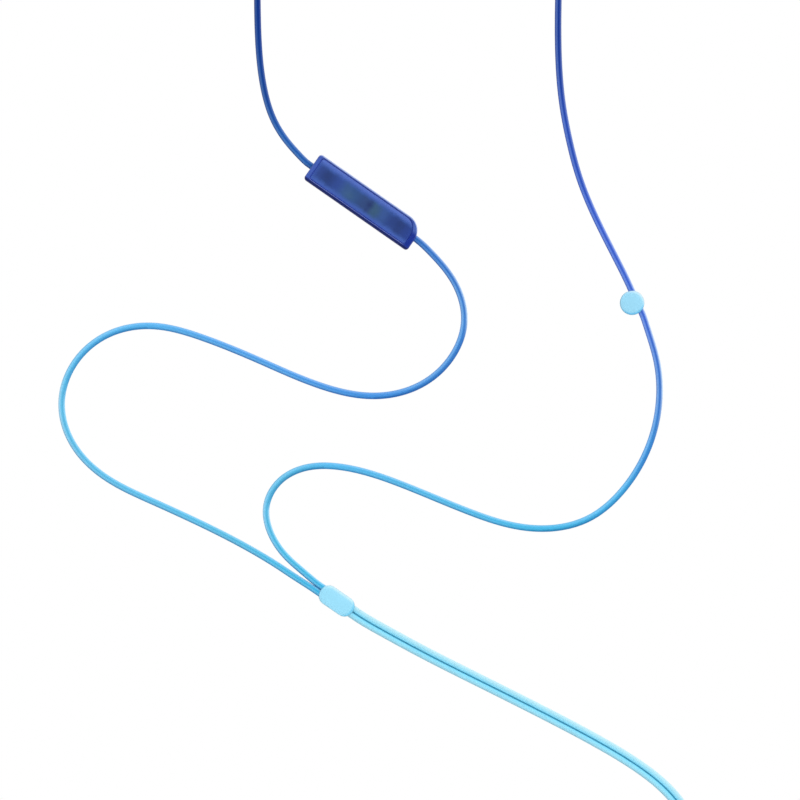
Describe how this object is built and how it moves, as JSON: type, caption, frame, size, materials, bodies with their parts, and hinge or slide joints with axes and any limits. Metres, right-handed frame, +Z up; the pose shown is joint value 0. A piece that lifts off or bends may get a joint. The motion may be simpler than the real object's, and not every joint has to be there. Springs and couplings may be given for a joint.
{
  "type": "wired in-ear earphones",
  "caption": "Wired in-ear earphones: two cords with an inline remote and a microphone pod join at a Y splitter, and a twin lead ends in an audio plug.",
  "frame": {"origin": "centre of the splitter's flat back", "axes": "+X to the right of a viewer who faces the object's front, +Y away from the viewer and out of the flat backs, +Z up towards the ear pieces"},
  "size_m": [0.1944, 0.0127, 0.4256],
  "materials": {
    "splitter_front_shell": "satin",
    "splitter_back_shell": "satin",
    "splitter_core": "matte silicone",
    "left_cord_lower": "satin, slightly clear",
    "right_cord_lower": "satin, slightly clear",
    "lead_upper": "satin, slightly clear",
    "left_cord_middle": "satin, slightly clear",
    "left_cord_upper": "satin, slightly clear",
    "remote_frame": "gloss, tinted clear",
    "remote_back_cover": "gloss, tinted clear",
    "remote_circuit_board": "satin",
    "remote_switch_volume_up": "satin",
    "remote_switch_play": "satin",
    "remote_switch_volume_down": "satin",
    "remote_controller_chip": "matte",
    "remote_upper_crimp": "satin",
    "remote_lower_crimp": "satin",
    "remote_key_pad": "matte silicone",
    "remote_key": "gloss, tinted clear",
    "right_cord_middle": "satin, slightly clear",
    "right_cord_upper": "satin, slightly clear",
    "mic_pod_cap": "satin",
    "mic_pod_base": "satin",
    "mic_capsule": "satin",
    "left_rear_shell": "gloss, tinted clear",
    "left_front_shell": "gloss, tinted clear",
    "left_driver": "satin",
    "left_diaphragm": "gloss film",
    "left_nozzle_mesh": "satin",
    "left_cord_boot": "matte silicone",
    "left_ear_tip": "matte silicone",
    "right_rear_shell": "gloss, tinted clear",
    "right_front_shell": "gloss, tinted clear",
    "right_driver": "satin",
    "right_diaphragm": "gloss film",
    "right_nozzle_mesh": "satin",
    "right_cord_boot": "matte silicone",
    "right_ear_tip": "matte silicone",
    "lead_lower": "satin, slightly clear",
    "plug_strain_relief": "satin",
    "plug_grip": "satin",
    "plug_insulator": "matte",
    "plug_sleeve": "gold plated",
    "plug_ring_inner": "gold plated",
    "plug_ring_outer": "gold plated",
    "plug_tip": "gold plated"
  },
  "bodies": {
    "splitter": {"splitter_front_shell": "splitter_front_shell", "splitter_back_shell": "splitter_back_shell", "splitter_core": "splitter_core", "left_cord_lower": "left_cord_lower", "right_cord_lower": "right_cord_lower", "lead_upper": "lead_upper"},
    "left_branch": {"left_cord_middle": "left_cord_middle", "left_cord_upper": "left_cord_upper", "remote_frame": "remote_frame", "remote_back_cover": "remote_back_cover", "remote_circuit_board": "remote_circuit_board", "remote_switch_volume_up": "remote_switch_volume_up", "remote_switch_play": "remote_switch_play", "remote_switch_volume_down": "remote_switch_volume_down", "remote_controller_chip": "remote_controller_chip", "remote_upper_crimp": "remote_upper_crimp", "remote_lower_crimp": "remote_lower_crimp"},
    "key_pad": {"remote_key_pad": "remote_key_pad"},
    "key": {"remote_key": "remote_key"},
    "right_branch": {"right_cord_middle": "right_cord_middle", "right_cord_upper": "right_cord_upper", "mic_pod_cap": "mic_pod_cap", "mic_pod_base": "mic_pod_base", "mic_capsule": "mic_capsule"},
    "left_ear_piece": {"left_rear_shell": "left_rear_shell", "left_front_shell": "left_front_shell", "left_driver": "left_driver", "left_diaphragm": "left_diaphragm", "left_nozzle_mesh": "left_nozzle_mesh", "left_cord_boot": "left_cord_boot"},
    "left_tip": {"left_ear_tip": "left_ear_tip"},
    "right_ear_piece": {"right_rear_shell": "right_rear_shell", "right_front_shell": "right_front_shell", "right_driver": "right_driver", "right_diaphragm": "right_diaphragm", "right_nozzle_mesh": "right_nozzle_mesh", "right_cord_boot": "right_cord_boot"},
    "right_tip": {"right_ear_tip": "right_ear_tip"},
    "lead_end": {"lead_lower": "lead_lower"},
    "plug": {"plug_strain_relief": "plug_strain_relief", "plug_grip": "plug_grip", "plug_insulator": "plug_insulator", "plug_sleeve": "plug_sleeve", "plug_ring_inner": "plug_ring_inner", "plug_ring_outer": "plug_ring_outer", "plug_tip": "plug_tip"}
  },
  "joints": [
    {"name": "left_branch_flex", "type": "hinge", "parent": "splitter", "child": "left_branch", "pos_m": [0.03829, -0.001, 0.08427], "axis": [0, 1, 0], "range_deg": [-8, 8], "stiffness_Nm_per_rad": 0.02},
    {"name": "right_branch_flex", "type": "hinge", "parent": "splitter", "child": "right_branch", "pos_m": [0.09684, -0.001, 0.06215], "axis": [0, 1, 0], "range_deg": [-8, 8], "stiffness_Nm_per_rad": 0.02},
    {"name": "lead_flex", "type": "hinge", "parent": "splitter", "child": "lead_end", "pos_m": [0.1093, -0.001, -0.08077], "axis": [0, 1, 0], "range_deg": [-8, 8], "stiffness_Nm_per_rad": 0.02},
    {"name": "remote_key_press", "type": "slide", "parent": "left_branch", "child": "key_pad", "axis": [0, 1, 0], "range_m": [0, 0.00025], "stiffness_N_per_m": 2500},
    {"name": "remote_key_rock", "type": "hinge", "parent": "key_pad", "child": "key", "pos_m": [0.0081, -0.00428, 0.1195], "axis": [0.5721, 0, 0.8202], "range_deg": [-0.8, 0.8], "stiffness_Nm_per_rad": 0.2},
    {"name": "left_ear_flex", "type": "hinge", "parent": "left_branch", "child": "left_ear_piece", "pos_m": [-0.0216, -0.0064, 0.2175], "axis": [0, 1, 0], "range_deg": [-25, 25], "stiffness_Nm_per_rad": 0.004},
    {"name": "right_ear_flex", "type": "hinge", "parent": "right_branch", "child": "right_ear_piece", "pos_m": [0.0312, -0.0064, 0.2265], "axis": [0, 1, 0], "range_deg": [-25, 25], "stiffness_Nm_per_rad": 0.004},
    {"name": "left_tip_pull", "type": "slide", "parent": "left_ear_piece", "child": "left_tip", "axis": [-0.9903, 0, 0.1392], "range_m": [0, 0.008], "stiffness_N_per_m": 20},
    {"name": "right_tip_pull", "type": "slide", "parent": "right_ear_piece", "child": "right_tip", "axis": [1, 0, 0], "range_m": [0, 0.008], "stiffness_N_per_m": 20},
    {"name": "plug_flex", "type": "hinge", "parent": "lead_end", "child": "plug", "pos_m": [0.0012, -0.0039, -0.162], "axis": [0, 1, 0], "range_deg": [-25, 25], "stiffness_Nm_per_rad": 0.004}
  ]
}
